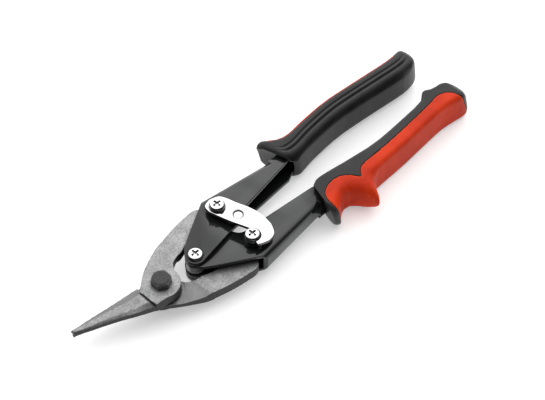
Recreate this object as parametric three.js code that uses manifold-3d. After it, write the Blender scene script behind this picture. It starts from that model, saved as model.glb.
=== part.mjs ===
// Aviation snips, left-cut pattern, 10 inch size: two forged blades driven by pressed-steel handles.
// Millimetres. +X runs from the jaws to the grips, +Y is the left handle's side, +Z is up.
// The four pivots form a kite: main pivot, handle pivot, and a pin between each handle and its blade's tail.
// Heights are counted from the shear plane, where the blades meet, and the whole tool is lifted at the end
// so that the end of the pivot bolt and the flat of the right grip both lie on z = 0.

import * as THREE from "three";
import { mergeVertices } from "three/addons/utils/BufferGeometryUtils.js";
import Module from "manifold-3d";

// ---------------------------------------------------------------- driving dimensions
const mainPivot = { x: 0, y: 0 };
const handlePivot = { x: 22.5, y: 0 };
const leftPin = { x: 49.2, y: 12.6 };
const rightPin = { x: leftPin.x, y: -leftPin.y };

const restHeight = 11; // from the resting plane up to the shear plane
const shearGap = 0.05; // each blade stands this far off the shear plane
const bossTop = 6; // blade thickness around the main pivot
const tailTop = 4.9; // the tail steps down behind the boss
const tailUnder = -0.6;
const jawTop = 5; // the jaw's crown at its root
const jawTopAtTip = 2.6;
const tipX = -47.6;

const sheet = 2; // handle sheet thickness
const topPlate = 7.1; // left channel, upper face
const underPlate = -5; // left channel, lower face
const bendRadius = 3.4;
const webSlope = -0.1224; // the handle's outer face closes in towards the grip
const webAtZero = 29.98;

const boltRadius = 3;
const boltHeadAcrossFlats = 9;
const boltHeadTop = 10;
const pinRadius = 2.4;
const screwHeadRadius = 4;
const screwHeadHeight = 3;
const lowHeadHeight = 2.1; // the handle pivot's screw
const runningClearance = 0.1;
const openPinClearance = 0.6; // the left pin's hole takes up the linkage's small closing error
const latchUnder = 8.9;
const latchTop = 10.8;
const gripHalfHeight = 10;
const gripOffset = 1; // left grip sits this much above the shear plane's level, the right one below
const pinNutAcrossFlats = 8;
const spacerRadius = 5;
const fitGap = 0.05; // between stacked pieces that touch

const colours = {
  forged: 0xa9abad,
  black: 0x17181a,
  gloss: 0x202225,
  chrome: 0xe4e6e8,
  wire: 0x3a3c40,
  rubber: 0x3b3d40,
  red: 0xe0401f,
};

// ---------------------------------------------------------------- solids
const wasm = await Module();
wasm.setup();

function toManifold(geometry) {
  const bare = geometry.clone();
  bare.deleteAttribute("normal");
  bare.deleteAttribute("uv");
  const merged = mergeVertices(bare, 1e-4);
  const vertProperties = new Float32Array(merged.attributes.position.array);
  const triVerts = new Uint32Array(merged.index.array);
  return new wasm.Manifold(new wasm.Mesh({ numProp: 3, vertProperties, triVerts }));
}

function toGeometry(solid) {
  const mesh = solid.getMesh();
  const geometry = new THREE.BufferGeometry();
  geometry.setAttribute("position", new THREE.BufferAttribute(mesh.vertProperties, 3));
  geometry.setIndex(new THREE.BufferAttribute(mesh.triVerts, 1));
  return geometry;
}

function combine(operation, first, others) {
  let solid = toManifold(first);
  for (const other of others) solid = solid[operation](toManifold(other));
  return toGeometry(solid);
}

const join = (first, ...others) => combine("add", first, others);
const cut = (first, ...others) => combine("subtract", first, others);
const overlap = (first, ...others) => combine("intersect", first, others);

// A flat plate between two heights.
function plate(shape, under, top, curveSegments = 5) {
  const options = { depth: top - under, bevelEnabled: false, curveSegments };
  return new THREE.ExtrudeGeometry(shape, options).translate(0, 0, under);
}

function block(minX, maxX, minY, maxY, minZ, maxZ) {
  return new THREE.BoxGeometry(maxX - minX, maxY - minY, maxZ - minZ).translate(
    (minX + maxX) / 2,
    (minY + maxY) / 2,
    (minZ + maxZ) / 2,
  );
}

function cylinder(at, radius, under, top, sides = 32) {
  return new THREE.CylinderGeometry(radius, radius, top - under, sides)
    .rotateX(Math.PI / 2)
    .translate(at.x, at.y, (under + top) / 2);
}

// A turned piece about a vertical axis, from [radius, height] points.
function turned(at, profile, sides = 32) {
  const points = profile.map(([radius, height]) => new THREE.Vector2(radius, height));
  return new THREE.LatheGeometry(points, sides).rotateX(Math.PI / 2).translate(at.x, at.y, 0);
}

function ring(at, inner, outer, under, top) {
  return cut(cylinder(at, outer, under, top), cylinder(at, inner, under - 1, top + 1));
}

function hexagon(at, acrossFlats, under, top) {
  return cylinder(at, acrossFlats / Math.sqrt(3), under, top, 6);
}

function vectors(points) {
  return points.map(([x, y]) => new THREE.Vector2(x, y));
}

// A smooth value along x through a few known points.
function smoothThrough(points) {
  return (x) => {
    const last = points.length - 2;
    let i = points.findIndex((point, index) => index <= last && x <= points[index + 1][0]);
    if (i < 0) i = last;
    const [x1, y1] = points[i];
    const [x2, y2] = points[i + 1];
    const [x0, y0] = points[Math.max(i - 1, 0)];
    const [x3, y3] = points[Math.min(i + 2, last + 1)];
    const span = x2 - x1;
    const slope1 = ((y2 - y0) / (x2 - x0)) * span;
    const slope2 = ((y3 - y1) / (x3 - x1)) * span;
    const t = THREE.MathUtils.clamp((x - x1) / span, 0, 1);
    const stay = 2 * t ** 3 - 3 * t ** 2 + 1;
    return (
      stay * y1 + (1 - stay) * y2 + (t ** 3 - 2 * t ** 2 + t) * slope1 + (t ** 3 - t ** 2) * slope2
    );
  };
}

// A closed body through rings of equal length; each ring is a list of [x, y, z].
function loft(rings) {
  const count = rings[0].length;
  const corners = rings.flat(2);
  const faces = [];
  for (let i = 0; i < rings.length - 1; i++) {
    for (let j = 0; j < count; j++) {
      const a = i * count + j;
      const b = i * count + ((j + 1) % count);
      faces.push(a, b, b + count, a, b + count, a + count);
    }
  }
  const end = (rings.length - 1) * count;
  for (let j = 1; j < count - 1; j++) {
    faces.push(0, j + 1, j);
    faces.push(end, end + j, end + j + 1);
  }
  const geometry = new THREE.BufferGeometry();
  geometry.setAttribute("position", new THREE.Float32BufferAttribute(corners, 3));
  geometry.setIndex(faces);
  return geometry;
}

const flipped = (geometry) => geometry.clone().rotateX(Math.PI);

// ---------------------------------------------------------------- blades
function bladeBodyShape() {
  const shape = new THREE.Shape();
  const bossRadius = 9.6;
  const tailRadius = 6.4;
  shape.moveTo(-11, 3.6);
  const outerSide = [[-5, 8.6], [0, 12.1], [10, 16.9], [20, 20.1], [30, 22.2], [40, 23.3]];
  const throat = [[25, 9.4], [20, 7.6], [16, 7], [12.5, 5], [10.4, 2.4], [bossRadius, 0]];
  shape.splineThru(vectors(outerSide));
  shape.quadraticCurveTo(45, 23.3, 45.6, 19.8);
  shape.absarc(leftPin.x, leftPin.y, tailRadius, THREE.MathUtils.degToRad(100), -Math.PI / 2, true);
  shape.lineTo(30, 9.6);
  shape.splineThru(vectors(throat));
  shape.absarc(mainPivot.x, mainPivot.y, bossRadius, 0, THREE.MathUtils.degToRad(-115), true);
  shape.lineTo(-10.4, -8.1);
  shape.closePath();
  return shape;
}

// The forging from the jaw's root back to the tail, as it lies in the upper blade.
function bladeBody(pinHoleRadius) {
  const stepX = 17;
  const far = 80;
  return cut(
    plate(bladeBodyShape(), tailUnder, bossTop),
    block(-far, stepX, -far, far, tailUnder - 1, shearGap),
    block(stepX, far, -far, far, tailTop, bossTop + 1),
    cylinder(mainPivot, boltRadius + runningClearance, -far, far),
    cylinder(leftPin, pinHoleRadius, -far, far),
  );
}

// A jaw section: edge is the cutting side, back the spine, and side is +1 above or -1 below the plane.
function jawSection(x, edge, back, side) {
  const along = (x - tipX) / (0 - tipX);
  const crown = THREE.MathUtils.lerp(jawTopAtTip, jawTop, along);
  const wall = crown * 0.66;
  const width = back - edge;
  const points = [
    [edge, shearGap],
    [edge + 0.05 * width, 1.2],
    [edge + 0.38 * width, crown],
    [edge + 0.78 * width, crown * 0.95],
    [back, wall],
    [back, shearGap],
  ];
  return points.map(([y, z]) => [x, y, side * z]);
}

const upperEdge = (x) => 8.1 - 0.1 * (x + 8.4);
const upperBack = smoothThrough([
  [tipX, 8.9], [-43, 6.5], [-35, 3.4], [-26.4, -0.2], [-18, -4.3], [-8, -8.6],
]);
const lowerBack = smoothThrough([[tipX, 10.9], [-44.4, 12.3], [-25, 10.7], [-8, 9.3]]);
const lowerEdge = smoothThrough([
  [tipX, 9.3], [-43, 7.4], [-35, 4.6], [-26.4, 1.2], [-18, -2.7], [-8, -6.8],
]);
const jawStations = [tipX, -44.6, -40, -34, -27, -20, -14, -8];

function upperJaw() {
  return loft(jawStations.map((x) => jawSection(x, upperEdge(x), upperBack(x), 1)));
}

function lowerJaw() {
  return loft(jawStations.map((x) => jawSection(x, lowerEdge(x), lowerBack(x), -1)));
}

const upperBlade = () => join(bladeBody(pinRadius + openPinClearance), upperJaw());

// The lower blade's underside thins towards its outer edge in front of the tail.
function undersideBevel() {
  const section = (x, edge, height) => [
    [x, edge - 4, -height],
    [x, edge - 4, -bossTop - 1],
    [x, edge + 9, -bossTop - 1],
  ];
  return loft([section(-16, 0, 0.2), section(20, -20, 5)]);
}

function lowerBlade() {
  const body = cut(flipped(bladeBody(pinRadius + runningClearance)), undersideBevel());
  return join(body, lowerJaw());
}

// ---------------------------------------------------------------- handles
const webOuter = (x) => webAtZero + webSlope * x;
const webFront = 48.6;

// Outline of the left channel from above, from its eye at the handle pivot to the tang inside the grip.
// The inner edge of its flange passes the grip's front at the given distance from the centre line.
function channelShape(atGripFront, insideGrip) {
  const shape = new THREE.Shape();
  const eyeRadius = 5.3;
  const from = THREE.MathUtils.degToRad(-72);
  const to = THREE.MathUtils.degToRad(140);
  shape.absarc(handlePivot.x, handlePivot.y, eyeRadius, from, to, true);
  shape.splineThru(vectors([[21, 6.6], [25, 9.4], [30, 12.5]]));
  shape.lineTo(46.4, 22.1);
  shape.lineTo(webFront, webOuter(webFront));
  shape.lineTo(92, webOuter(92));
  shape.splineThru(vectors([[105, 18.8], [125, 21.2], [150, 21.4], [176, 19.4]]));
  shape.lineTo(176, 13.4);
  shape.splineThru(vectors([[150, 15.4], [125, 15], [101, insideGrip]]));
  shape.lineTo(96, atGripFront);
  shape.lineTo(63, 5.5);
  shape.splineThru(vectors([[54, 5.2], [49, 3.6], [46.4, -0.9]]));
  shape.closePath();
  return shape;
}

// The room between the channel's flanges, open on the inner side.
function channelPocket() {
  const shape = new THREE.Shape();
  shape.moveTo(0, -30);
  shape.lineTo(0, 30);
  shape.lineTo(47, 30);
  shape.lineTo(47, webOuter(47) - sheet);
  shape.lineTo(92, webOuter(92) - sheet);
  shape.splineThru(vectors([[105, 16.8], [125, 19.2], [150, 19.4], [177, 17.3]]));
  shape.lineTo(177, -30);
  shape.closePath();
  return plate(shape, underPlate + sheet, topPlate - sheet);
}

// The envelope that rounds the two folds along the web.
function foldEnvelope() {
  const shape = new THREE.Shape();
  const low = underPlate;
  const high = topPlate;
  const width = 60;
  shape.moveTo(-width, low);
  shape.lineTo(-bendRadius, low);
  shape.absarc(-bendRadius, low + bendRadius, bendRadius, -Math.PI / 2, 0, false);
  shape.absarc(-bendRadius, high - bendRadius, bendRadius, 0, Math.PI / 2, false);
  shape.lineTo(-width, high);
  shape.closePath();
  const length = 84;
  const bar = new THREE.ExtrudeGeometry(shape, { depth: length, bevelEnabled: false, curveSegments: 5 });
  bar.rotateX(Math.PI / 2).rotateZ(Math.PI / 2 + Math.atan(webSlope));
  bar.translate(10, webOuter(10), 0);
  const tang = block(91, 190, -40, 60, low, high);
  return join(bar, tang);
}

function channel() {
  const far = 40;
  const middle = (underPlate + topPlate) / 2;
  const upperHalf = plate(channelShape(11.3, 12.4), middle, topPlate);
  const lowerHalf = plate(channelShape(8.1, 10.6), underPlate, middle);
  return cut(
    overlap(join(upperHalf, lowerHalf), foldEnvelope()),
    channelPocket(),
    cylinder(handlePivot, pinRadius + runningClearance, -far, far),
    cylinder(leftPin, pinRadius + runningClearance, -far, far),
  );
}

// ---------------------------------------------------------------- grips
const leftGripEnd = 202;
const rightGripEnd = 204;
const gripCorner = 3;

// Rounded section of a grip. Its outer corners may reach further inwards than they are high, and the ring
// leans along the grip, by so much per millimetre across and upwards.
function gripRing({ x, outer, inner, top, under, outerCorner, innerCorner, leanAcross, leanUp }) {
  const middleY = (outer + inner) / 2;
  const middleZ = (top + under) / 2;
  const steps = 6;
  const corners = [
    [outer - outerCorner.reach, top - outerCorner.height, outerCorner],
    [inner + innerCorner.reach, top - innerCorner.height, innerCorner],
    [inner + innerCorner.reach, under + innerCorner.height, innerCorner],
    [outer - outerCorner.reach, under + outerCorner.height, outerCorner],
  ];
  return corners.flatMap(([y, z, { reach, height }], quarter) =>
    Array.from({ length: steps + 1 }, (_, step) => {
      const angle = ((quarter + step / steps) * Math.PI) / 2;
      const py = y + reach * Math.cos(angle);
      const pz = z + height * Math.sin(angle);
      return [x + leanAcross * (py - middleY) + leanUp * (pz - middleZ), py, pz];
    }),
  );
}

// Each grip's sides are measured outwards from the tool's centre line. The outer corners have a height and a
// reach. up is +1 where the grip's upper side leans forward, -1 where the grip is to be turned over.
const leftGripSides = {
  front: 97.6,
  end: leftGripEnd,
  endLean: 0.2,
  up: 1,
  innerHeight: gripCorner,
  inner: smoothThrough([
    [97.6, 10.6], [101, 9.2], [105, 9.3], [119, 11.4], [139, 13.1], [159, 12.2], [187, 10.2], [193, 10.6],
    [197, 11.6], [200, 13.4], [leftGripEnd, 15.6],
  ]),
  outer: smoothThrough([
    [97.6, 29.8], [100, 31], [103, 28.4], [106, 25.4], [110, 23.8], [120, 25], [140, 26.5], [160, 25.5],
    [188, 23.9], [196, 24.5], [200, 24.6], [leftGripEnd, 23],
  ]),
  height: smoothThrough([[97.6, 4.2], [103, 4.6], [110, gripCorner], [leftGripEnd, gripCorner]]),
  reach: smoothThrough([[97.6, 4.2], [103, 4.6], [110, gripCorner], [leftGripEnd, gripCorner]]),
};
// The right grip's outer side carries a hooked finger rest, and its inner side a stop bump near the end.
const stopBump = (x) => 3.4 * Math.exp(-(((x - 184.5) / 4) ** 2));
const rightGripInner = smoothThrough([
  [94.5, 9.6], [98, 8], [104, 8], [119, 9.9], [139, 11.8], [159, 10.8], [180, 9], [188, 7.6], [194, 7.2],
  [199, 7.8], [202, 9.8], [rightGripEnd, 13],
]);
const rightGripSides = {
  front: 94.5,
  end: rightGripEnd,
  endLean: 0.3,
  up: -1,
  innerHeight: 1.6,
  inner: (x) => rightGripInner(x) - stopBump(x),
  outer: smoothThrough([
    [94.5, 28], [97, 30], [100, 26.6], [104, 23.4], [108, 24], [111.5, 28.5], [114.5, 34.5], [116.5, 36.9],
    [118, 35.2], [120.5, 29.6], [124, 26], [130, 24.8], [150, 23.8], [170, 22.1], [184, 21.3], [192, 22],
    [197, 22.9], [201, 22.8], [rightGripEnd, 20.6],
  ]),
  height: smoothThrough([
    [94.5, 8], [100, 6], [104, 4], [110, 7], [114.5, 9.6], [118, 9.6], [122, 6], [128, gripCorner],
    [rightGripEnd, gripCorner],
  ]),
  reach: smoothThrough([
    [94.5, 8], [100, 6], [104, 4], [110, 8], [114.5, 14.5], [116.5, 17], [118, 15], [122, 6],
    [128, gripCorner], [rightGripEnd, gripCorner],
  ]),
};

// Stations along a grip, as shares of its length, closest where its sides turn quickly.
const gripStations = [
  0, 0.012, 0.028, 0.05, 0.075, 0.1, 0.13, 0.155, 0.18, 0.2, 0.215, 0.235, 0.26, 0.3, 0.36, 0.44, 0.53, 0.62,
  0.71, 0.77, 0.8, 0.812, 0.824, 0.836, 0.86, 0.9, 0.94, 0.97, 0.985, 1,
];

// A whole grip as it lies on the left handle.
function gripBody({ front, end, endLean, up, innerHeight, inner, outer, height, reach }) {
  const roundedFrom = end - 3;
  const frontLeanEnds = 116;
  const endLeanStarts = 186;
  const rings = gripStations.map((share) => {
    const x = THREE.MathUtils.lerp(front, end, share);
    const closing = 0.9 * Math.max(0, x - roundedFrom);
    const half = 0.48 * (outer(x) - inner(x));
    const atFront = THREE.MathUtils.clamp((frontLeanEnds - x) / (frontLeanEnds - front), 0, 1);
    const atEnd = THREE.MathUtils.clamp((x - endLeanStarts) / (end - endLeanStarts), 0, 1);
    const innerRadius = Math.min(innerHeight, half);
    return gripRing({
      x,
      outer: outer(x),
      inner: inner(x),
      top: gripOffset + gripHalfHeight - closing,
      under: gripOffset - gripHalfHeight + closing,
      outerCorner: { height: Math.min(height(x), half), reach: Math.min(reach(x), 2 * half - innerRadius) },
      innerCorner: { height: innerRadius, reach: innerRadius },
      leanAcross: -0.3 * atFront,
      leanUp: -up * (0.235 * atFront + endLean * atEnd),
    });
  });
  return loft(rings);
}

// Room in the grip for the channel's tang, its flanges included, open at the grip's front.
function tangRoom() {
  const gap = 0.3;
  const shape = new THREE.Shape();
  shape.moveTo(80, webOuter(80) + gap);
  shape.lineTo(92, webOuter(92) + gap);
  shape.splineThru(vectors([[105, 19.1], [125, 21.5], [150, 21.7], [176.4, 19.7]]));
  shape.lineTo(176.4, 13);
  shape.splineThru(vectors([[150, 15], [125, 14.6], [101, 10.2]]));
  shape.lineTo(96, 7.6);
  shape.lineTo(92, 6);
  shape.lineTo(80, 5);
  shape.closePath();
  return plate(shape, underPlate - gap, topPlate + gap);
}

// The soft inlay's region from above: everything outside this border line.
function inlayShape(border, far) {
  const shape = new THREE.Shape();
  shape.moveTo(border[0][0], far);
  shape.lineTo(...border[0]);
  shape.splineThru(vectors(border.slice(1)));
  shape.lineTo(border[border.length - 1][0], far);
  shape.closePath();
  return shape;
}

const leftInlayBorder = [
  [98.5, 26], [103, 24.2], [108, 22.4], [120, 23.4], [140, 25], [160, 24], [180, 22.7], [192, 22.6],
];
const rightInlayBorder = [
  [92.8, 22.5], [95.5, 17.6], [101, 15], [108, 15.2], [113, 18.6], [116.5, 23], [119, 20.2], [124, 18],
  [140, 17.5], [160, 16], [180, 14], [186, 12.9], [191, 14], [194.5, 17.1], [196, 22],
];
const inlayGap = 0.1;

// Shears one end of a region along x, by so much per millimetre of height above the given level. The shear
// grows from nothing at x = from to its full amount a distance over further on.
function leaning(region, { from, over, level, slope }) {
  const place = region.getAttribute("position");
  for (let i = 0; i < place.count; i++) {
    const share = THREE.MathUtils.clamp((place.getX(i) - from) / over, 0, 1);
    place.setX(i, place.getX(i) + share * slope * (place.getZ(i) - level));
  }
  return region;
}

function gripPair(body, border, leans) {
  const far = 50;
  const tall = 20;
  const region = leans.reduce(leaning, plate(inlayShape(border, far), -tall, tall, 3));
  const shifts = [[-inlayGap, 0], [inlayGap, 0], [0, -inlayGap]];
  const widened = shifts.map(([x, y]) => region.clone().translate(x, y, 0));
  return {
    shell: cut(body, ...widened, tangRoom()),
    inlay: cut(overlap(body, region), tangRoom()),
  };
}

// ---------------------------------------------------------------- latch
// Seen from above, with its eye on the left pin and its hook round the catch screw on the right pin.
function latchShape() {
  const shape = new THREE.Shape();
  const notchRadius = screwHeadRadius + 0.3;
  const mouth = THREE.MathUtils.degToRad(-113); // the hook's lip leans back so that the screw can leave it
  shape.moveTo(49.5, 18.9);
  shape.splineThru(vectors([[54.3, 17.3], [56.4, 14], [58.1, 8.3], [60.5, 1.5], [61.8, -6], [60.9, -14]]));
  shape.splineThru(vectors([[57.9, -19.2], [53.5, -20.8], [49.8, -20], [46.9, -18.9]]));
  shape.lineTo(
    rightPin.x + notchRadius * Math.cos(mouth),
    rightPin.y + notchRadius * Math.sin(mouth),
  );
  shape.absarc(rightPin.x, rightPin.y, notchRadius, mouth, THREE.MathUtils.degToRad(62), false);
  shape.splineThru(vectors([[50.1, -5.5], [47.5, 1.5], [45.5, 8.2], [44.2, 13]]));
  shape.splineThru(vectors([[45.2, 17.2], [49.5, 18.9]]));
  shape.closePath();
  return shape;
}

function latch() {
  const thumbHollow = { x: 53.4, y: 1.8 };
  const hollowRadius = 3;
  const hollowDepth = 0.8;
  const dimple = cylinder(thumbHollow, hollowRadius, latchTop - hollowDepth, latchTop + 1, 32);
  const eye = cylinder(leftPin, pinRadius + runningClearance, 0, 20);
  return cut(plate(latchShape(), latchUnder, latchTop), eye, dimple);
}

// ---------------------------------------------------------------- fasteners and spring
// A pan-head screw with a cross recess: its shank ends at the height end.
function panScrew(at, headUnder, end, headHeight = screwHeadHeight) {
  const top = headUnder + headHeight;
  const body = turned(at, [
    [0, end], [pinRadius, end], [pinRadius, headUnder], [screwHeadRadius, headUnder],
    [screwHeadRadius, top - 1.4], [3.4, top - 0.6], [2, top - 0.1], [0, top],
  ]);
  const arm = 2.3;
  const half = 0.55;
  const floor = top - 1.2;
  return cut(
    body,
    block(at.x - arm, at.x + arm, at.y - half, at.y + half, floor, top + 1),
    block(at.x - half, at.x + half, at.y - arm, at.y + arm, floor, top + 1),
  );
}

function hexBolt() {
  const head = hexagon(mainPivot, boltHeadAcrossFlats, bossTop + shearGap, boltHeadTop);
  return join(head, cylinder(mainPivot, boltRadius, -restHeight, bossTop + 1));
}

function nut(at, acrossFlats, holeRadius, under, top) {
  return cut(hexagon(at, acrossFlats, under, top), cylinder(at, holeRadius, under - 1, top + 1));
}

// Torsion spring round the handle pivot, one leg towards each blade pin.
function returnSpring() {
  const wireRadius = 0.6;
  const coilRadius = 4.2;
  const turns = 2.5;
  const endHeight = 2.1;
  const legEndX = 50;
  const legRise = 2.4;
  class Wire extends THREE.Curve {
    getPoint(t, target = new THREE.Vector3()) {
      const leg = 0.2;
      if (t < leg) {
        const out = 1 - t / leg;
        const x = THREE.MathUtils.lerp(handlePivot.x, legEndX, out);
        return target.set(x, coilRadius + legRise * out ** 1.5, -endHeight);
      }
      if (t > 1 - leg) {
        const out = (t - 1 + leg) / leg;
        const x = THREE.MathUtils.lerp(handlePivot.x, legEndX, out);
        return target.set(x, -coilRadius - legRise * out ** 1.5, endHeight);
      }
      const along = (t - leg) / (1 - 2 * leg);
      const angle = Math.PI / 2 + along * turns * 2 * Math.PI;
      return target.set(
        handlePivot.x + coilRadius * Math.cos(angle),
        handlePivot.y + coilRadius * Math.sin(angle),
        THREE.MathUtils.lerp(-endHeight, endHeight, along),
      );
    }
  }
  const round = new THREE.Shape().absarc(0, 0, wireRadius, 0, 2 * Math.PI, false);
  return new THREE.ExtrudeGeometry(round, {
    steps: 90,
    curveSegments: 4,
    extrudePath: new Wire(),
    bevelEnabled: false,
  });
}

// ---------------------------------------------------------------- assembly
const snips = new THREE.Group();
snips.position.z = restHeight;

const leftInlayLeans = [
  { from: 110, over: -12, level: 11, slope: -0.235 },
  { from: 180, over: 12, level: 11, slope: -0.2 },
];
const rightInlayLeans = [
  { from: 110, over: -12, level: -9, slope: 0.3 },
  { from: 180, over: 14, level: -9, slope: 0.42 },
];
const leftGrip = gripPair(gripBody(leftGripSides), leftInlayBorder, leftInlayLeans);
const rightGrip = gripPair(gripBody(rightGripSides), rightInlayBorder, rightInlayLeans);

// Stacked heights. The right channel is the left one turned over, so its upper plate lies lower.
const rightTopPlate = -underPlate;
const rightUnderPlate = -topPlate;
const pinNutUnder = 9.9;
const leftNutUnder = 8;
const washerTop = -6.1;
const washerUnder = -7.2;
const catchCollarTop = 9.5;
const boltNutUnder = -10.6;
const bore = pinRadius + runningClearance;
const boltBore = boltRadius + runningClearance;

const forging = { metalness: 0.8, roughness: 0.5 };
const blackened = { metalness: 0.6, roughness: 0.5 };
const lacquer = { metalness: 0.3, roughness: 0.15 };
const plated = { metalness: 1, roughness: 0.15 };
const rubber = { metalness: 0, roughness: 0.7 };

function piece(name, geometry, color, finish) {
  const mesh = new THREE.Mesh(geometry, new THREE.MeshStandardMaterial({ color, ...finish }));
  mesh.name = name;
  snips.add(mesh);
}

function pinNut(at, under, top) {
  return nut(at, pinNutAcrossFlats, bore, under, top);
}

piece("upper_blade", upperBlade(), colours.forged, forging);
piece("lower_blade", lowerBlade(), colours.forged, forging);
piece("pivot_bolt", hexBolt(), colours.black, blackened);
piece("pivot_washer", ring(mainPivot, boltBore, 6, washerUnder, washerTop), colours.chrome, plated);
const boltNut = nut(mainPivot, boltHeadAcrossFlats, boltBore, boltNutUnder, washerUnder - 0.1);
piece("pivot_nut", boltNut, colours.black, blackened);

piece("left_channel", channel(), colours.gloss, lacquer);
piece("right_channel", flipped(channel()), colours.gloss, lacquer);
const pivotScrew = panScrew(handlePivot, topPlate + fitGap, -10.2, lowHeadHeight);
piece("handle_pivot_screw", pivotScrew, colours.chrome, plated);
const pivotScrewNut = pinNut(handlePivot, -pinNutUnder, rightUnderPlate - fitGap);
piece("handle_pivot_nut", pivotScrewNut, colours.chrome, plated);
piece("spring_bush", ring(handlePivot, bore, 3.3, -2.9, 2.9), colours.chrome, plated);
piece("return_spring", returnSpring(), colours.wire, { metalness: 0.8, roughness: 0.4 });

piece("latch", latch(), colours.chrome, plated);
const waveWasher = ring(leftPin, bore, 4.2, topPlate + fitGap, latchUnder - fitGap);
piece("latch_wave_washer", waveWasher, colours.chrome, plated);
piece("latch_screw", panScrew(leftPin, latchTop + fitGap, -8.4), colours.chrome, plated);
piece("latch_screw_nut", pinNut(leftPin, -leftNutUnder, underPlate - fitGap), colours.chrome, plated);
const leftSpacer = ring(leftPin, bore, spacerRadius, underPlate + sheet + fitGap, tailUnder - fitGap);
piece("left_tail_spacer", leftSpacer, colours.chrome, plated);

piece("catch_screw", panScrew(rightPin, catchCollarTop + fitGap, -10.2), colours.chrome, plated);
const collar = ring(rightPin, bore, screwHeadRadius, rightTopPlate + fitGap, catchCollarTop);
piece("catch_collar", collar, colours.chrome, plated);
piece("catch_screw_nut", pinNut(rightPin, -pinNutUnder, rightUnderPlate - fitGap), colours.chrome, plated);
const rightSpacer = ring(rightPin, bore, spacerRadius, -tailUnder + fitGap, rightTopPlate - sheet - fitGap);
piece("right_tail_spacer", rightSpacer, colours.chrome, plated);

piece("left_grip", leftGrip.shell, colours.rubber, rubber);
piece("left_grip_inlay", leftGrip.inlay, colours.red, rubber);
piece("right_grip", flipped(rightGrip.shell), colours.rubber, rubber);
piece("right_grip_inlay", flipped(rightGrip.inlay), colours.red, rubber);

export default snips;
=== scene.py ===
"""Left-cut aviation snips: the looks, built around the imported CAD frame.

Metres, in the frame's own axes: +X from the jaws to the grips, +Y the left handle's side, +Z up.
"""

import math

import bmesh
import bpy
import numpy as np
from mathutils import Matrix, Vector, kdtree, noise


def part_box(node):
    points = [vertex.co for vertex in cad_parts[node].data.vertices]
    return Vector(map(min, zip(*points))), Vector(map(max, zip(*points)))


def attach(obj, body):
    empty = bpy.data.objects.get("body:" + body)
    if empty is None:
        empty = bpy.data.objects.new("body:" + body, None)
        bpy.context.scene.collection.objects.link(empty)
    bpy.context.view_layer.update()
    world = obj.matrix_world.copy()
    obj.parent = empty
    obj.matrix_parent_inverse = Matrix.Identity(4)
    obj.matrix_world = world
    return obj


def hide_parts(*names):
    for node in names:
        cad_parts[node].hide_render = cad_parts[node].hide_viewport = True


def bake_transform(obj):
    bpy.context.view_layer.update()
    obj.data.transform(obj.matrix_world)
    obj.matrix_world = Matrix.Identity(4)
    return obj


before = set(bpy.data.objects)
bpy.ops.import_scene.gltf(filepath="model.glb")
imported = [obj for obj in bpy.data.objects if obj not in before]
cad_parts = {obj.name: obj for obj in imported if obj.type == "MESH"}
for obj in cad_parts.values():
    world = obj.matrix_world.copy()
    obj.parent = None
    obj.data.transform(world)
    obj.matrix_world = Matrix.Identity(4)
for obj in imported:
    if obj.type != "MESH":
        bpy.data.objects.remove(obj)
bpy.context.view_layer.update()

MM = 0.001


# ---------------------------------------------------------------- places taken from the frame
def centre(node):
    low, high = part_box(node)
    return (low + high) / 2


def top_of(node):
    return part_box(node)[1].z


def under_of(node):
    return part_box(node)[0].z


MAIN_PIVOT = centre("pivot_bolt")
HANDLE_PIVOT = centre("handle_pivot_screw")
LEFT_PIN = centre("latch_screw")
SHEAR_PLANE = (under_of("spring_bush") + top_of("spring_bush")) / 2


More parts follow.
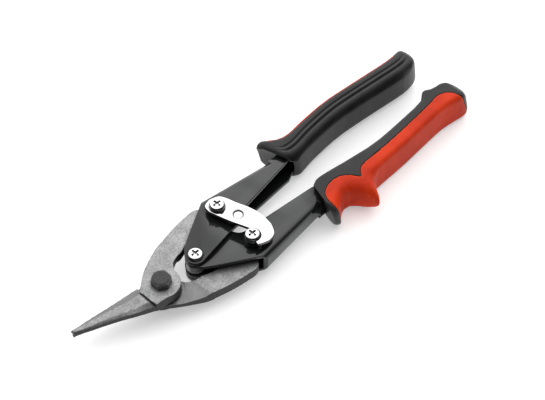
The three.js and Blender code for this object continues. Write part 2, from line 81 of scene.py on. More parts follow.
# ---------------------------------------------------------------- material graphs
class Finish:
    """A material under construction: small helpers that each add one node and return its output."""

    def __init__(self, name, base, metallic=0.0, roughness=0.5, coat=0.0, coat_roughness=0.03):
        self.material = bpy.data.materials.new(name)
        self.material.use_nodes = True
        self.material.diffuse_color = (*base, 1)
        self.tree = self.material.node_tree
        self.shader = self.tree.nodes["Principled BSDF"]
        self.set("Base Color", (*base, 1))
        self.set("Metallic", metallic)
        self.set("Roughness", roughness)
        self.set("Coat Weight", coat)
        self.set("Coat Roughness", coat_roughness)
        self.place = self.tree.nodes.new("ShaderNodeTexCoord").outputs["Object"]

    def set(self, socket, value):
        if isinstance(value, bpy.types.NodeSocket):
            self.tree.links.new(value, self.shader.inputs[socket])
        else:
            self.shader.inputs[socket].default_value = value

    def grain(self, size, detail=3.0, stretch=(1, 1, 1)):
        """Noise with features of about the given size in metres."""
        mapping = self.tree.nodes.new("ShaderNodeMapping")
        mapping.inputs["Scale"].default_value = stretch
        self.tree.links.new(self.place, mapping.inputs["Vector"])
        texture = self.tree.nodes.new("ShaderNodeTexNoise")
        texture.inputs["Scale"].default_value = 1 / size
        texture.inputs["Detail"].default_value = detail
        self.tree.links.new(mapping.outputs["Vector"], texture.inputs["Vector"])
        return texture.outputs["Fac"]

    def pits(self, size):
        texture = self.tree.nodes.new("ShaderNodeTexVoronoi")
        texture.inputs["Scale"].default_value = 1 / size
        self.tree.links.new(self.place, texture.inputs["Vector"])
        return texture.outputs["Distance"]

    def edges(self):
        """Above 0.5 on ridges and below it in hollows."""
        return self.tree.nodes.new("ShaderNodeNewGeometry").outputs["Pointiness"]

    def flatness(self):
        """1 where the surface faces straight up or down, 0 on upright sides."""
        geometry = self.tree.nodes.new("ShaderNodeNewGeometry")
        parts = self.tree.nodes.new("ShaderNodeSeparateXYZ")
        self.tree.links.new(geometry.outputs["Normal"], parts.inputs["Vector"])
        return self.math("ABSOLUTE", parts.outputs["Z"], 0.0)

    def height(self):
        """How high a point of the piece lies at rest, in metres."""
        parts = self.tree.nodes.new("ShaderNodeSeparateXYZ")
        self.tree.links.new(self.place, parts.inputs["Vector"])
        return parts.outputs["Z"]

    def openness(self, reach):
        """1 in the open, falling towards 0 down in recesses and close to a neighbour within reach."""
        node = self.tree.nodes.new("ShaderNodeAmbientOcclusion")
        node.samples = 6
        node.inputs["Distance"].default_value = reach
        return node.outputs["AO"]

    def remap(self, value, from_low, from_high, to_low, to_high):
        node = self.tree.nodes.new("ShaderNodeMapRange")
        node.interpolation_type = "SMOOTHSTEP"
        self.tree.links.new(value, node.inputs["Value"])
        for socket, number in (
            ("From Min", from_low),
            ("From Max", from_high),
            ("To Min", to_low),
            ("To Max", to_high),
        ):
            node.inputs[socket].default_value = number
        return node.outputs["Result"]

    def math(self, operation, a, b):
        node = self.tree.nodes.new("ShaderNodeMath")
        node.operation = operation
        for socket, value in zip(node.inputs, (a, b)):
            if isinstance(value, bpy.types.NodeSocket):
                self.tree.links.new(value, socket)
            else:
                socket.default_value = value
        return node.outputs["Value"]

    def mix(self, factor, first, second):
        """A colour between two, each a colour or another node's output."""
        factor_at, first_at, second_at, result_at = 0, 6, 7, 2  # where the node keeps its colour sockets
        node = self.tree.nodes.new("ShaderNodeMix")
        node.data_type = "RGBA"
        self.tree.links.new(factor, node.inputs[factor_at])
        for socket, value in ((node.inputs[first_at], first), (node.inputs[second_at], second)):
            if isinstance(value, bpy.types.NodeSocket):
                self.tree.links.new(value, socket)
            else:
                socket.default_value = (*value, 1)
        return node.outputs[result_at]

    def layered(self, tone, layers):
        """A colour with others laid over it in turn, each given as (mask, colour)."""
        for mask, colour in layers:
            tone = self.mix(mask, tone, colour)
        return tone

    def bump(self, relief, depth, strength):
        node = self.tree.nodes.new("ShaderNodeBump")
        node.inputs["Strength"].default_value = strength
        node.inputs["Distance"].default_value = depth
        self.tree.links.new(relief, node.inputs["Height"])
        self.set("Normal", node.outputs["Normal"])


def grey(value):
    """A grey with a trace of blue."""
    return (value, value, value * 1.01)


def forged_steel():
    """Satin, finely pitted faces. Sides and slopes are darkened as painted shade, corners carry painted
    shade, and the surface at or below the shear plane takes a darker mottled tone.
    """
    finish = Finish("forged_steel", grey(0.26), metallic=0.8)
    clouds = finish.grain(7 * MM, detail=5)
    mottle = finish.grain(1.0 * MM, detail=5)
    specks = finish.grain(0.35 * MM, detail=3)
    pits = finish.pits(1.3 * MM)
    flatness = finish.flatness()
    plain = finish.mix(finish.remap(clouds, 0.32, 0.68, 0, 1), grey(0.19), grey(0.27))
    low_lying_mottle = finish.mix(mottle, grey(0.03), grey(0.2))
    in_blotches = finish.remap(mottle, 0.45, 0.66, 0, 0.6)
    on_specks = finish.remap(specks, 0.52, 0.72, 0, 0.6)
    in_pits = finish.remap(pits, 0.0, 0.14, 0.6, 0)
    # a darker mottled tone painted where the surface lies at or below the shear plane, as in the lower
    # blade's hollow
    in_hollow = finish.remap(finish.height(), SHEAR_PLANE - 0.3 * MM, SHEAR_PLANE + 0.5 * MM, 0.6, 0)
    # painted shade: slopes and upright sides are darkened by which way they face, not by any scale on the
    # steel
    painted_slope_shade = finish.remap(flatness, 0.8, 0.985, 0.7, 0)
    painted_side_shade = finish.remap(flatness, 0.2, 0.75, 0.9, 0)
    # painted shade: darkened where the surface lies close to a neighbour or down in a corner
    painted_corner_shade = finish.remap(finish.openness(2.5 * MM), 0.35, 0.8, 0.9, 0)
    layers = (
        (in_blotches, grey(0.13)),
        (on_specks, grey(0.38)),
        (in_pits, grey(0.07)),
        (in_hollow, low_lying_mottle),
        (painted_slope_shade, grey(0.08)),
        (painted_side_shade, grey(0.035)),
        (painted_corner_shade, grey(0.02)),
    )
    finish.set("Base Color", finish.layered(plain, layers))
    finish.set("Roughness", finish.remap(mottle, 0.3, 0.7, 0.42, 0.56))
    relief = finish.math("ADD", finish.math("MULTIPLY", mottle, 0.5), finish.math("MULTIPLY", pits, 0.3))
    relief = finish.math("ADD", relief, finish.math("MULTIPLY", specks, 0.2))
    finish.bump(relief, depth=0.13 * MM, strength=0.55)
    return finish.material


def black_lacquer():
    """Gloss stoving lacquer: a clear coat with a trace of orange peel over black, its coat thinned in corners
    as painted shade.
    """
    finish = Finish("black_lacquer", grey(0.008), roughness=0.35, coat=0.85, coat_roughness=0.06)
    finish.set("Specular IOR Level", 0.05)
    finish.set("Coat Tint", (0.9, 1.0, 0.97, 1))
    peel = finish.grain(1.6 * MM, detail=2)
    sheen = finish.remap(finish.grain(26 * MM, detail=1), 0.35, 0.65, 0.55, 1)
    # painted shade: the coat's reflection is weakened close to neighbours and in corners
    painted_shade_coat_share = finish.remap(finish.openness(4 * MM), 0.45, 0.95, 0.1, 1)
    on_dust = finish.remap(finish.grain(0.25 * MM, detail=2), 0.66, 0.78, 0, 0.5)
    finish.set("Base Color", finish.mix(on_dust, grey(0.007), grey(0.04)))
    finish.set("Coat Weight", finish.math("MULTIPLY", sheen, painted_shade_coat_share))
    finish.set("Coat Roughness", finish.remap(finish.grain(9 * MM), 0.35, 0.65, 0.04, 0.1))
    finish.bump(peel, depth=0.02 * MM, strength=0.3)
    return finish.material


def black_oxide():
    """Blackened hardware, rubbed paler along its edges."""
    finish = Finish("black_oxide", grey(0.03), metallic=0.7, roughness=0.38)
    specks = finish.grain(0.5 * MM, detail=4)
    plain = finish.mix(finish.remap(specks, 0.4, 0.7, 0, 1), grey(0.022), grey(0.05))
    on_edges = finish.remap(finish.edges(), 0.52, 0.6, 0, 0.6)
    finish.set("Base Color", finish.mix(on_edges, plain, grey(0.16)))
    finish.set("Roughness", finish.remap(specks, 0.3, 0.7, 0.3, 0.5))
    finish.bump(specks, depth=0.05 * MM, strength=0.5)
    return finish.material


def bright_plate():
    """Polished plating, with painted shade on its sheared sides and down in recesses."""
    finish = Finish("bright_plate", grey(0.8), metallic=1.0, roughness=0.12)
    haze = finish.grain(4 * MM, detail=3)
    brushing = finish.grain(0.35 * MM, detail=2, stretch=(0.12, 1, 1))
    plain = finish.mix(finish.remap(haze, 0.3, 0.7, 0, 1), grey(0.55), grey(0.7))
    # painted shade and painted dark reflection: upright sides are darkened by which way they face, recesses
    # by how closed in they are
    painted_side_shade = finish.remap(finish.flatness(), 0.6, 0.95, 0.9, 0)
    painted_recess_shade = finish.remap(finish.openness(1.5 * MM), 0.5, 0.93, 0.95, 0)
    layers = ((painted_side_shade, grey(0.05)), (painted_recess_shade, grey(0.02)))
    finish.set("Base Color", finish.layered(plain, layers))
    finish.set("Roughness", finish.remap(brushing, 0.3, 0.7, 0.08, 0.2))
    finish.bump(brushing, depth=0.012 * MM, strength=0.3)
    return finish.material


def spring_steel():
    """Dull drawn wire of a slightly uneven tone."""
    finish = Finish("spring_steel", grey(0.3), metallic=0.95, roughness=0.3)
    drawn = finish.grain(0.4 * MM, detail=3)
    finish.set("Base Color", finish.mix(finish.remap(drawn, 0.35, 0.65, 0, 1), grey(0.24), grey(0.36)))
    finish.bump(drawn, depth=0.02 * MM, strength=0.4)
    return finish.material


def moulded(name, deep, plain, wear_and_highlight, roughness, shine):
    """Soft-touch moulding: fine spark-eroded grain, lighter along ridges as rubbed wear and painted
    highlight, with painted shade in corners.
    """
    finish = Finish(name, plain, roughness=roughness)
    finish.set("Specular IOR Level", shine)
    clouds = finish.grain(14 * MM, detail=3)
    texture = finish.grain(0.3 * MM, detail=3)
    body = finish.mix(finish.remap(clouds, 0.35, 0.65, 0, 1), deep, plain)
    shaded = [channel * 0.15 for channel in deep]
    # lighter along ridges: partly rubbed wear, partly a painted highlight
    on_edges = finish.remap(finish.edges(), 0.505, 0.545, 0, 0.4)
    # painted shade: darkened where the surface lies close to a neighbour or down in a corner
    painted_corner_shade = finish.remap(finish.openness(3 * MM), 0.4, 0.9, 0.75, 0)
    finish.set("Base Color", finish.layered(body, ((on_edges, wear_and_highlight), (painted_corner_shade, shaded))))
    finish.set("Roughness", finish.remap(texture, 0.3, 0.7, roughness - 0.07, roughness + 0.08))
    finish.bump(texture, depth=0.05 * MM, strength=0.35)
    return finish.material


FINISHES = {
    "forged_steel": forged_steel(),
    "black_lacquer": black_lacquer(),
    "black_oxide": black_oxide(),
    "bright_plate": bright_plate(),
    "spring_steel": spring_steel(),
    "grip_rubber": moulded(
        "grip_rubber",
        deep=grey(0.010),
        plain=grey(0.017),
        wear_and_highlight=grey(0.07),
        roughness=0.36,
        shine=0.22,
    ),
    "inlay_rubber": moulded(
        "inlay_rubber",
        deep=(0.46, 0.024, 0.003),
        plain=(0.58, 0.034, 0.004),
        wear_and_highlight=(0.8, 0.09, 0.03),
        roughness=0.5,
        shine=0.12,
    ),
}


# ---------------------------------------------------------------- mesh helpers
def place_piece(name, mesh, body, slot, *nodes):
    """Puts a finished mesh in the scene: it rides on a body and stands for its CAD nodes."""
    mesh.materials.clear()
    mesh.materials.append(FINISHES[slot])
    piece = bpy.data.objects.new(name, mesh)
    bpy.context.scene.collection.objects.link(piece)
    if body:
        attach(piece, body)
    if nodes:
        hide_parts(*nodes)
    return piece


def welded(*nodes):
    """A bmesh of CAD nodes with their split corners joined."""
    work = bmesh.new()
    for node in nodes:
        work.from_mesh(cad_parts[node].data)
    bmesh.ops.remove_doubles(work, verts=work.verts, dist=0.002 * MM)
    return work


def finished(work, name):
    """The mesh of a bmesh, shaded smooth; the bmesh itself goes."""
    mesh = bpy.data.meshes.new(name)
    work.to_mesh(mesh)
    work.free()
    mesh.shade_smooth()
    return mesh


def baked(obj):
    """The mesh of obj with its modifiers applied; obj itself goes."""
    bpy.context.view_layer.update()
    depsgraph = bpy.context.evaluated_depsgraph_get()
    mesh = bpy.data.meshes.new_from_object(obj.evaluated_get(depsgraph))
    bpy.data.objects.remove(obj)
    return mesh


def with_modifiers(mesh, *modifiers):
    obj = bpy.data.objects.new("work", mesh)
    bpy.context.scene.collection.objects.link(obj)
    for kind, settings in modifiers:
        modifier = obj.modifiers.new(kind.lower(), kind)
        for key, value in settings.items():
            setattr(modifier, key, value)
    return baked(obj)


def eased(node, edge, segments=3, spare=None):
    """A CAD node's shape with its sharp edges eased, as pressed and turned metal has them.

    spare is (point, radius): edges inside that circle, seen from above, stay as they are.
    """
    sharp = math.radians(32)
    flat = math.radians(0.5)
    work = welded(node)
    bmesh.ops.dissolve_limit(work, angle_limit=flat, verts=work.verts, edges=work.edges)
    weights = work.edges.layers.float.new("bevel_weight_edge")
    for line in work.edges:
        middle = (line.verts[0].co + line.verts[1].co) / 2
        spared = bool(spare) and (middle - spare[0]).to_2d().length < spare[1]
        folded = line.calc_face_angle(0) > sharp
        line[weights] = float(folded and not spared)
        line.smooth = not (folded and spared)
    bevel = {
        "width": edge,
        "segments": segments,
        "limit_method": "WEIGHT",
        "use_clamp_overlap": False,
        "harden_normals": True,
    }
    return with_modifiers(finished(work, node), ("BEVEL", bevel))


def turned(profile, at):
    """A body turned about the vertical through at, from (radius, height) pairs that begin and end on it."""
    sides = 64
    work = bmesh.new()
    rows = []
    for radius, height in profile:
        if radius == 0:
            rows.append([work.verts.new((at.x, at.y, height))])
            continue
        angles = [2 * math.pi * i / sides for i in range(sides)]
        ring = [(at.x + radius * math.cos(a), at.y + radius * math.sin(a), height) for a in angles]
        rows.append([work.verts.new(point) for point in ring])
    for lower, upper in zip(rows, rows[1:]):
        for i in range(sides):
            j = (i + 1) % sides
            below = (lower[i % len(lower)], lower[j % len(lower)])
            above = (upper[j % len(upper)], upper[i % len(upper)])
            work.faces.new(dict.fromkeys(below + above))
    bmesh.ops.recalc_face_normals(work, faces=work.faces)
    return finished(work, "turned")


def tube(path, radius):
    """A round wire along a list of points, with closed ends."""
    curve = bpy.data.curves.new("wire", "CURVE")
    curve.dimensions = "3D"
    curve.bevel_depth = radius
    curve.bevel_resolution = 5
    curve.use_fill_caps = True
    line = curve.splines.new("POLY")
    line.points.add(len(path) - 1)
    for point, place in zip(line.points, path):
        point.co = (*place, 1)
    wire = bpy.data.objects.new("wire", curve)
    bpy.context.scene.collection.objects.link(wire)
    mesh = baked(wire)
    mesh.shade_smooth()
    return mesh


def smoothing(rounds):
    """Modifier settings that even out a mesh by a number of rounds."""
    return ("SMOOTH", {"factor": 0.5, "iterations": rounds})


def remeshed(nodes, voxel, rounds):
    """CAD nodes as one even skin. Smoothing melts facets and edges, as a forging or a moulding has them."""
    remesh = ("REMESH", {"mode": "VOXEL", "voxel_size": voxel})
    mesh = with_modifiers(finished(welded(*nodes), nodes[0]), remesh, smoothing(rounds))
    mesh.shade_smooth()
    return mesh


def vertex_array(mesh):
    points = np.empty(len(mesh.vertices) * 3)
    mesh.vertices.foreach_get("co", points)
    return points.reshape(-1, 3)


def normal_array(mesh):
    normals = np.empty(len(mesh.vertices) * 3)
    mesh.vertices.foreach_get("normal", normals)
    return normals.reshape(-1, 3)


def store(mesh, points):
    mesh.vertices.foreach_set("co", points.ravel())
    mesh.update()


def roughen(mesh, size, depth):
    """Moves each vertex in along its normal by fixed noise, so the surface never leaves its own envelope."""
    roughness, lacunarity, octaves = 1.0, 2.0, 3
    points = vertex_array(mesh)
    samples = [Vector(point) / size for point in points]
    heights = np.array([noise.fractal(sample, roughness, lacunarity, octaves) for sample in samples])
    sunk = depth * (0.5 + 0.5 * np.clip(heights, -1, 1))
    store(mesh, points - normal_array(mesh) * sunk[:, None])


def smooth_step(value, low, high):
    """0 up to low, 1 from high on, and an even S between."""
    t = np.clip((value - low) / (high - low), 0, 1)
    return t * t * (3 - 2 * t)


# ---------------------------------------------------------------- blades
BLADE_VOXEL = 0.34 * MM
BOSS_STEP_X = MAIN_PIVOT.x + 17 * MM  # where each blade steps from its boss to its tail
BOSS_FRONT_X = MAIN_PIVOT.x - 11.5 * MM  # where the upper blade steps from its boss to its jaw


def skin_share(z, top, depth):
    """1 at the top and above, falling to 0 at depth below it, so that a move of the top fades out."""
    return np.clip((z - top + depth) / depth, 0, 1)


def soften_tail_step(x, z, boss_top, tail_top):
    """Lowers the back of the upper boss, so that it runs down to the tail in a shallow slope."""
    slope_length = 6 * MM
    past_step = 1 * MM
    skin = 0.2 * MM
    slope = boss_top + (tail_top - boss_top) * smooth_step(x, BOSS_STEP_X - slope_length, BOSS_STEP_X)
    on_boss = (z > tail_top - skin) & (x < BOSS_STEP_X + past_step)
    return np.where(on_boss, np.minimum(z, slope), z)


def soften_jaw_step(x, z, boss_top):
    """Lowers the front of the upper boss and raises the jaw's root towards it, which leaves a low step."""
    fall, fall_length, boss_skin = 0.6 * MM, 3.5 * MM, 1.2 * MM
    rise, rise_length, jaw_skin = 0.8 * MM, 6 * MM, 2.2 * MM
    jaw_below_boss = 1.8 * MM
    boss_share = skin_share(z, boss_top, boss_skin)
    jaw_share = skin_share(z, boss_top - jaw_below_boss, jaw_skin)
    boss_fall = fall * (1 - smooth_step(x, BOSS_FRONT_X, BOSS_FRONT_X + fall_length))
    jaw_rise = rise * smooth_step(x, BOSS_FRONT_X - rise_length, BOSS_FRONT_X)
    return np.where(x > BOSS_FRONT_X, z - boss_fall * boss_share, z + jaw_rise * jaw_share)


def sculpt_upper_blade(mesh):
    """Reads the tops of the boss and the tail clear of the step between them, and softens both steps."""
    points = vertex_array(mesh)
    x, _, z = points.T
    nearly_all = 0.99
    boss_top = np.quantile(z[x < BOSS_STEP_X - 8 * MM], nearly_all)
    tail_top = np.quantile(z[x > BOSS_STEP_X + 6 * MM], nearly_all)
    z = soften_tail_step(x, z, boss_top, tail_top)
    points[:, 2] = soften_jaw_step(x, z, boss_top)
    store(mesh, points)


def sculpt_lower_blade(mesh):
    """Behind the boss the lower blade keeps a hollow, and rises from it to the tail in a soft slope."""
    points = vertex_array(mesh)
    x, y, z = points.T
    skin = 1.2 * MM
    floor_z = SHEAR_PLANE - 0.05 * MM
    rise = 0.65 * MM
    hollow = 0.45 * MM
    front = MAIN_PIVOT.x - 2 * MM
    inside, outside = 10.2 * MM, 12 * MM
    from_pivot = np.hypot(x - MAIN_PIVOT.x, y - MAIN_PIVOT.y)
    outside_boss = smooth_step(from_pivot, inside, outside) * smooth_step(x, front, front + 4 * MM)
    climbing = smooth_step(x, BOSS_STEP_X - 5 * MM, BOSS_STEP_X + 0.3 * MM)
    target = floor_z + rise * climbing - hollow * outside_boss * (1 - climbing)
    share = skin_share(z, floor_z, skin)
    before_step = (x < BOSS_STEP_X + 0.6 * MM) & (x > front)
    moved = np.where(z > floor_z, target, z + (target - floor_z) * share)
    points[:, 2] = np.where(before_step & (share > 0), moved, z)
    store(mesh, points)


def blade(node, sculpt):
    mesh = remeshed([node], BLADE_VOXEL, rounds=3)
    sculpt(mesh)
    roughen(mesh, size=1.8 * MM, depth=0.08 * MM)
    place_piece(f"{node}_forging", mesh, node, "forged_steel", node)


# ---------------------------------------------------------------- handles
def pressed_channel(side):
    """The edges where the channel narrows into its grip stay plain: a bevel there would run away."""
    node = f"{side}_channel"
    narrowing_x = MAIN_PIVOT.x + 91 * MM
    wall = math.copysign(17.3 * MM, centre(node).y)
    mesh = eased(node, 0.35 * MM, spare=(Vector((narrowing_x, wall, 0)), 3 * MM))
    place_piece(f"{side}_channel_pressing", mesh, f"{side}_handle", "black_lacquer", node)


# ---------------------------------------------------------------- grips
GRIP_VOXEL = 0.4 * MM
X, Y = 0, 1


def border(points, along, across):
    """The least value of one coordinate, as a smooth function of another. Both are axis numbers."""
    step = 1.5 * MM
    half_window = 2
    window = 2 * half_window + 1
    low, high = points[:, along].min(), points[:, along].max()
    edges = np.arange(low, high + step, step)
    slot = np.digitize(points[:, along], edges)
    value = points[:, across]
    filled = [i for i in range(1, len(edges)) if (slot == i).any()]
    stations = [edges[i - 1] + step / 2 for i in filled]
    least = [value[slot == i].min() for i in filled]
    padded = np.pad(least, half_window, mode="edge")
    smooth = np.convolve(padded, np.ones(window) / window, mode="valid")
    return lambda place: np.interp(place, stations, smooth)


def lowered(z, middle, top, fall):
    """Squeezes the heights above middle, so that the top comes down by fall."""
    return np.where(z > middle, middle + (z - middle) * (top - fall - middle) / (top - middle), z)


def quarter_round(distance, width, height):
    """How far a rounded edge has fallen at some distance in from it."""
    share = np.clip(1 - distance / width, 0, 1)
    return height * (1 - np.sqrt(np.clip(1 - share**2, 0, 1)))


def sculpt_left_grip(meshes, shell_node):
    """The raised rib between its two grooves, and the rounds down to the inner face and the front."""
    grooves = (  # distance in from the inner face, half width, depth
        (8.2 * MM, 0.6 * MM, 1.0 * MM),
        (5.4 * MM, 0.75 * MM, 1.4 * MM),
    )
    start, start_run = MAIN_PIVOT.x + 97 * MM, 6 * MM
    end, end_run = MAIN_PIVOT.x + 197 * MM, 7 * MM
    skins = [vertex_array(mesh) for mesh in meshes]
    whole = np.vstack(skins)
    top = top_of(shell_node)
    middle = (top + under_of(shell_node)) / 2
    inner = border(whole, X, Y)
    front = border(whole[whole[:, 2] > top - 1 * MM], Y, X)
    for mesh, points in zip(meshes, skins):
        x, y, z = points.T
        depth_in = y - inner(x)
        run_in = smooth_step(x, start, start + start_run)
        run_out = smooth_step(x, end - end_run, end)
        along = run_in * (1 - run_out)
        on_top = smooth_step(z, top - 2 * MM, top - 0.8 * MM) * along
        inner_round = along * quarter_round(depth_in, width=4.6 * MM, height=3.6 * MM)
        front_round = quarter_round(x - front(y), width=4 * MM, height=2.6 * MM)
        z = lowered(z, middle, top, inner_round)
        z = lowered(z, middle, top, front_round)
        for at, half_width, depth in grooves:
            z = z - on_top * depth * np.exp(-(((depth_in - at) / half_width) ** 2))
        points[:, 2] = z
        store(mesh, points)


def soften_end(nodes, meshes):
    """Rounds off the far end of a grip's pieces as if they were one body, so that they stay flush."""
    zone = 13 * MM
    skin = 0.6 * MM
    rounds = 50
    body = remeshed(nodes, GRIP_VOXEL, rounds=0)
    before = vertex_array(body)
    after = vertex_array(with_modifiers(body, smoothing(rounds)))
    far = before[:, 0].max()
    near_end = np.flatnonzero(before[:, 0] > far - 1.2 * zone)
    tree = kdtree.KDTree(len(near_end))
    for index in near_end:
        tree.insert(before[index], index)
    tree.balance()
    for mesh in meshes:
        points = vertex_array(mesh)
        share = smooth_step(points[:, 0], far - zone, far - zone / 2)
        for index in np.flatnonzero(share > 0):
            _, nearest, distance = tree.find(points[index])
            share[index] *= 1 - smooth_step(distance, skin, 5 * skin)
            points[index] += (after[nearest] - before[nearest]) * share[index]
        store(mesh, points)


def grip(side, sculpt=None):
    nodes = (f"{side}_grip", f"{side}_grip_inlay")
    meshes = [remeshed([node], GRIP_VOXEL, rounds=6) for node in nodes]
    soften_end(nodes, meshes)
    if sculpt:
        sculpt(meshes, nodes[0])
    shell, inlay = meshes
    place_piece(f"{side}_grip_shell", shell, f"{side}_handle", "grip_rubber", nodes[0])
    place_piece(f"{side}_grip_soft_inlay", inlay, f"{side}_handle", "inlay_rubber", nodes[1])


# ---------------------------------------------------------------- latch
def thumb_hollow(at, radius):
    """The hollow's dished skin, with a small rolled lip, as a thin closed lining of the plate's hole."""
    depth = 0.75 * MM
    floor_radius = 2 * MM
    lip = 0.12 * MM
    thickness = 0.05 * MM
    inset = 0.02 * MM
    steps = 10
    shares = [i / steps for i in range(steps)]
    wall = [
        (floor_radius + (radius - floor_radius) * share, at.z - depth * (1 - smooth_step(share, 0, 1)))
        for share in shares
    ]
    turns = [math.pi * i / steps for i in range(steps + 1)]
    rim = [(radius + lip * (1 - math.cos(turn)), at.z + lip * math.sin(turn)) for turn in turns]
    foot = at.z - depth - thickness
    back = [(radius - inset, at.z - lip), (radius - inset, foot), (0, foot)]
    return turned([(0, at.z - depth)] + wall + rim + back, at)


def latch():
    """The chrome hook plate, with the small punched hollow that a thumb pushes on."""
    radius = 3 * MM
    thumb = Vector((LEFT_PIN.x + 4.2 * MM, LEFT_PIN.y - 10.8 * MM, top_of("latch")))
    mesh = eased("latch", 0.4 * MM, segments=4, spare=(thumb, radius + 1 * MM))
    place_piece("latch_plate", mesh, "latch", "bright_plate", "latch")
    place_piece("latch_thumb_hollow", thumb_hollow(thumb, radius), "latch", "bright_plate")


# ---------------------------------------------------------------- return spring
def return_spring():
    """Torsion spring round the handle pivot, built as it lies at rest, with a leg out to each side of the
    coil.
    """
    low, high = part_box("return_spring")
    wire_radius = 0.6 * MM
    coil_radius = 4.2 * MM
    turns = 2.5
    leg_flare = 1.5
    leg_steps, coil_steps = 24, 150
    leg_spread = high.y - wire_radius
    leg_length = high.x - wire_radius - HANDLE_PIVOT.x
    lift = (high.z - low.z) / 2 - wire_radius
    middle = (high.z + low.z) / 2

    def leg(side, height):
        points = []
        for i in range(leg_steps):
            out = 1 - i / leg_steps
            spread = coil_radius + (leg_spread - coil_radius) * out**leg_flare
            points.append((HANDLE_PIVOT.x + leg_length * out, HANDLE_PIVOT.y + side * spread, height))
        return points

    coil = []
    for i in range(coil_steps + 1):
        angle = math.pi / 2 + 2 * math.pi * turns * i / coil_steps
        coil.append((
            HANDLE_PIVOT.x + coil_radius * math.cos(angle),
            HANDLE_PIVOT.y + coil_radius * math.sin(angle),
            middle - lift + 2 * lift * i / coil_steps,
        ))
    path = leg(1, middle - lift) + coil + leg(-1, middle + lift)[::-1]
    wire = tube(path, wire_radius)
    piece = place_piece("return_spring_wire", wire, None, "spring_steel", "return_spring")
    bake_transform(piece)


# ---------------------------------------------------------------- fasteners
def ring_rows(work, at, rows):
    """Joins rows of (radius, height) pairs, one pair per angle, into a closed skin about a vertical axis."""
    count = len(rows[0])
    made = []
    for row in rows:
        ring = []
        for i, (radius, height) in enumerate(row):
            angle = 2 * math.pi * i / count
            point = (at.x + radius * math.cos(angle), at.y + radius * math.sin(angle), height)
            ring.append(work.verts.new(point))
        made.append(ring)
    for lower, upper in zip(made, made[1:]):
        for i in range(count):
            j = (i + 1) % count
            work.faces.new((lower[i], lower[j], upper[j], upper[i]))
    return made


def hex_part(at, across_flats, under, top, bore=0.0, chamfer_under=False):
    """A hexagon head, or a nut of a given bore radius, with its corners turned down to a chamfer circle."""
    count = 96
    sixth = math.pi / 3
    chamfer_radius = 0.93 * across_flats / 2
    chamfer_slope = math.tan(math.radians(30))
    crown = 0.0 if bore else 0.18 * MM
    crown_rim = 0.35 * MM
    from_flats = [(2 * math.pi * i / count + sixth / 2) % sixth - sixth / 2 for i in range(count)]
    sides = [across_flats / 2 / math.cos(angle) for angle in from_flats]
    drop = [(radius - chamfer_radius) * chamfer_slope for radius in sides]

    def cap(height, direction):
        return [
            [(radius, height - direction * fall) for radius, fall in zip(sides, drop)],
            [(chamfer_radius, height)] * count,
            [(chamfer_radius - crown_rim, height + direction * crown)] * count,
        ]

    foot = cap(under, -1)[::-1] if chamfer_under else [[(radius, under) for radius in sides]]
    hole = [[(bore, under)] * count] if bore else []
    eye = [[(bore, top)] * count] if bore else []
    work = bmesh.new()
    rows = ring_rows(work, at, hole + foot + cap(top, 1) + eye)
    if bore:
        for i in range(count):
            j = (i + 1) % count
            work.faces.new((rows[-1][i], rows[-1][j], rows[0][j], rows[0][i]))
    else:
        work.faces.new(rows[0])
        work.faces.new(rows[-1])
    bmesh.ops.recalc_face_normals(work, faces=work.faces)
    mesh = finished(work, "hex_part")
    mesh.set_sharp_from_angle(angle=math.radians(20))
    return mesh


def pivot_bolt():
    """The main pivot: a black hexagon head, and a threaded end standing out of the nut below."""
    low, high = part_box("pivot_bolt")
    across_flats = high.x - low.x
    head_under = top_of("upper_blade")
    head = hex_part(MAIN_PIVOT, across_flats, head_under, high.z)
    place_piece("pivot_bolt_head", head, "lower_blade", "black_oxide", "pivot_bolt")
    radius, pitch = 3 * MM, 0.75 * MM
    thread_depth = 0.4 * MM
    end_chamfer = 0.6 * MM
    thread_top = top_of("pivot_nut")
    in_head = head_under + 0.2 * MM
    profile = [(0, low.z), (radius - end_chamfer, low.z)]
    crest = low.z + pitch / 2
    while crest < thread_top:
        profile += [(radius, crest), (radius - thread_depth, crest + pitch / 2)]
        crest += pitch
    profile += [(radius, thread_top + pitch / 2), (radius, in_head), (0, in_head)]
    place_piece("pivot_bolt_shank", turned(profile, MAIN_PIVOT), "lower_blade", "black_oxide")


def hex_nut(node, body, slot, bore):
    low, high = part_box(node)
    across_flats = min(high.x - low.x, high.y - low.y)
    mesh = hex_part(centre(node), across_flats, low.z, high.z, bore=bore, chamfer_under=True)
    place_piece(f"{node}_part", mesh, body, slot, node)


def eased_piece(node, body, slot, edge):
    place_piece(f"{node}_part", eased(node, edge), body, slot, node)


# ---------------------------------------------------------------- build
blade("lower_blade", sculpt_lower_blade)
blade("upper_blade", sculpt_upper_blade)
for side in ("left", "right"):
    pressed_channel(side)
grip("left", sculpt_left_grip)
grip("right")

for node, body, slot, edge in (
    ("pivot_washer", "lower_blade", "bright_plate", 0.2 * MM),
    ("handle_pivot_screw", "right_handle", "bright_plate", 0.15 * MM),
    ("catch_screw", "right_handle", "bright_plate", 0.15 * MM),
    ("latch_screw", "left_handle", "bright_plate", 0.15 * MM),
    ("catch_collar", "right_handle", "bright_plate", 0.2 * MM),
    ("latch_wave_washer", "left_handle", "bright_plate", 0.2 * MM),
    ("left_tail_spacer", "left_handle", "bright_plate", 0.2 * MM),
    ("right_tail_spacer", "right_handle", "bright_plate", 0.2 * MM),
    ("spring_bush", "right_handle", "black_oxide", 0.2 * MM),
):
    eased_piece(node, body, slot, edge)
for node, body, slot, bore in (
    ("pivot_nut", "lower_blade", "black_oxide", 3.1 * MM),
    ("handle_pivot_nut", "right_handle", "bright_plate", 2.5 * MM),
    ("catch_screw_nut", "right_handle", "bright_plate", 2.5 * MM),
    ("latch_screw_nut", "left_handle", "bright_plate", 2.5 * MM),
):
    hex_nut(node, body, slot, bore)
pivot_bolt()
latch()
return_spring()


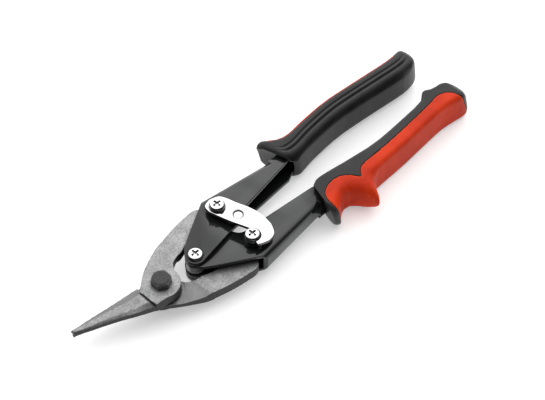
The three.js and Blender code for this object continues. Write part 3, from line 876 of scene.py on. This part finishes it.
# ---------------------------------------------------------------- floor, light and camera
def floor():
    """A pale floor that gives off a little light of its own, so that shadows on it stay faint."""
    half = 2.0
    paint = 0.7
    glow = 0.4
    mesh = bpy.data.meshes.new("floor")
    corners = [(-half, -half, 0), (half, -half, 0), (half, half, 0), (-half, half, 0)]
    mesh.from_pydata(corners, [], [(0, 1, 2, 3)])
    plane = bpy.data.objects.new("floor", mesh)
    bpy.context.scene.collection.objects.link(plane)
    finish = Finish("floor", (paint, paint, paint), roughness=0.75)
    finish.set("Emission Color", (1, 1, 1, 1))
    finish.set("Emission Strength", glow)
    finish.bump(finish.grain(3 * MM), depth=0.02 * MM, strength=0.2)
    mesh.materials.append(finish.material)


def studio():
    """One broad soft light, high on the far side, that fades into a dim room."""
    towards_light = Vector((0.42, 0.5, 0.76)).normalized()
    room, light = 0.14, 2.5
    fade_start, fade_end = 0.1, 0.98  # cosines of the angle from the middle of the light
    world = bpy.data.worlds.new("studio")
    world.use_nodes = True
    tree = world.node_tree
    background = tree.nodes["Background"]
    background.inputs["Color"].default_value = (1, 1, 1, 1)
    place = tree.nodes.new("ShaderNodeTexCoord")
    cosine = tree.nodes.new("ShaderNodeVectorMath")
    cosine.operation = "DOT_PRODUCT"
    cosine.inputs[1].default_value = towards_light
    tree.links.new(place.outputs["Generated"], cosine.inputs[0])
    fade = tree.nodes.new("ShaderNodeMapRange")
    fade.interpolation_type = "SMOOTHSTEP"
    fade.inputs["From Min"].default_value = fade_start
    fade.inputs["From Max"].default_value = fade_end
    fade.inputs["To Min"].default_value = room
    fade.inputs["To Max"].default_value = light
    tree.links.new(cosine.outputs["Value"], fade.inputs["Value"])
    tree.links.new(fade.outputs["Result"], background.inputs["Strength"])
    bpy.context.scene.world = world


def camera():
    """Looks down from between the jaws' end and the right handle's side, with a long lens."""
    target = Vector((MAIN_PIVOT.x + 78.4 * MM, MAIN_PIVOT.y + 2.7 * MM, SHEAR_PLANE))
    elevation = math.radians(49.86)
    bearing = math.radians(-135)
    roll = math.radians(0.14)
    distance = 0.755
    lens, sensor_width = 97.7, 36
    level = Vector((math.cos(bearing), math.sin(bearing), 0)) * math.cos(elevation)
    position = target + distance * (level + Vector((0, 0, math.sin(elevation))))
    data = bpy.data.cameras.new("camera")
    data.lens = lens
    data.sensor_width = sensor_width
    view = bpy.data.objects.new("camera", data)
    look = (target - position).to_track_quat("-Z", "Y").to_matrix().to_4x4()
    look.translation = position
    view.matrix_world = look
    view.rotation_euler.rotate_axis("Z", roll)
    bpy.context.scene.collection.objects.link(view)
    bpy.context.scene.camera = view


floor()
studio()
camera()
bpy.context.scene.view_settings.view_transform = "Standard"
